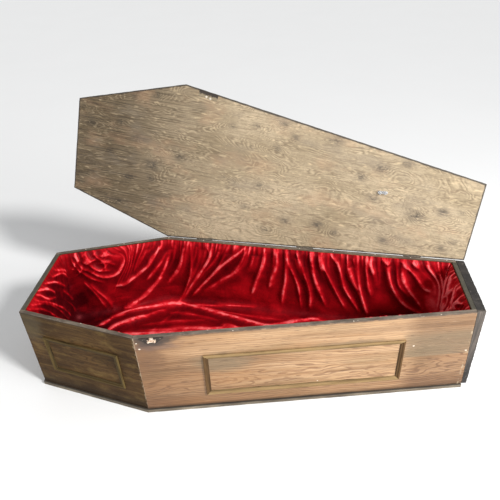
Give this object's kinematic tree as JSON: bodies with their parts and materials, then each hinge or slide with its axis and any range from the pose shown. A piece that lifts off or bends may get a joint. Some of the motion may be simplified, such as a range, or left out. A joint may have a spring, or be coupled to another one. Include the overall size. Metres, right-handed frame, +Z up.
{
  "type": "wooden coffin",
  "caption": "Six-sided wooden coffin with framed side panels, crimson velvet lining and a hinged one-piece lid standing open.",
  "frame": {"origin": "centre of the base board's underside, on the floor", "axes": "+X towards the foot, +Y towards the side that carries the hinges, +Z up"},
  "size_m": [1.9698, 1.0044, 1.1366],
  "materials": {
    "stained_boards": "worn satin stain",
    "lid_plywood": "dull weathered stain",
    "dark_foot_wood": "dull dark stain",
    "base_plywood": "raw, dirty",
    "moulding_wood": "worn satin stain",
    "crimson_velvet": "crushed velvet",
    "hinge_steel": "dull",
    "blackened_iron": "blackened",
    "catch_brass": "worn",
    "hook_nickel": "bright"
  },
  "bodies": {
    "box": {"base_board": "base_plywood", "catch_body": "catch_brass", "catch_plate": "blackened_iron", "foot_board": "dark_foot_wood", "foot_end": "stained_boards", "head_end": "stained_boards", "head_side_far": "stained_boards", "head_side_far_moulding_bottom": "moulding_wood", "head_side_far_moulding_left": "moulding_wood", "head_side_far_moulding_right": "moulding_wood", "head_side_far_moulding_top": "moulding_wood", "head_side_near": "stained_boards", "head_side_near_moulding_bottom": "moulding_wood", "head_side_near_moulding_left": "moulding_wood", "head_side_near_moulding_right": "moulding_wood", "head_side_near_moulding_top": "moulding_wood", "hinge_1_box_leaf": "hinge_steel", "hinge_1_pin": "hinge_steel", "hinge_2_box_leaf": "hinge_steel", "hinge_2_pin": "hinge_steel", "hinge_3_box_leaf": "hinge_steel", "hinge_3_pin": "hinge_steel", "side_far": "stained_boards", "side_far_moulding_bottom": "moulding_wood", "side_far_moulding_left": "moulding_wood", "side_far_moulding_right": "moulding_wood", "side_far_moulding_top": "moulding_wood", "side_near": "stained_boards", "side_near_moulding_bottom": "moulding_wood", "side_near_moulding_left": "moulding_wood", "side_near_moulding_right": "moulding_wood", "side_near_moulding_top": "moulding_wood", "velvet_lining": "crimson_velvet"},
    "lid": {"hinge_1_lid_leaf": "hinge_steel", "hinge_2_lid_leaf": "hinge_steel", "hinge_3_lid_leaf": "hinge_steel", "lid_board": "lid_plywood", "lid_hook": "hook_nickel", "lid_strike": "blackened_iron"}
  },
  "joints": [
    {"name": "lid_hinge", "type": "hinge", "parent": "box", "child": "lid", "pos_m": [-0.43592, 0.36659, 0.4435], "axis": [0.9906, -0.1365, 0], "range_deg": [0, 107.2]}
  ]
}
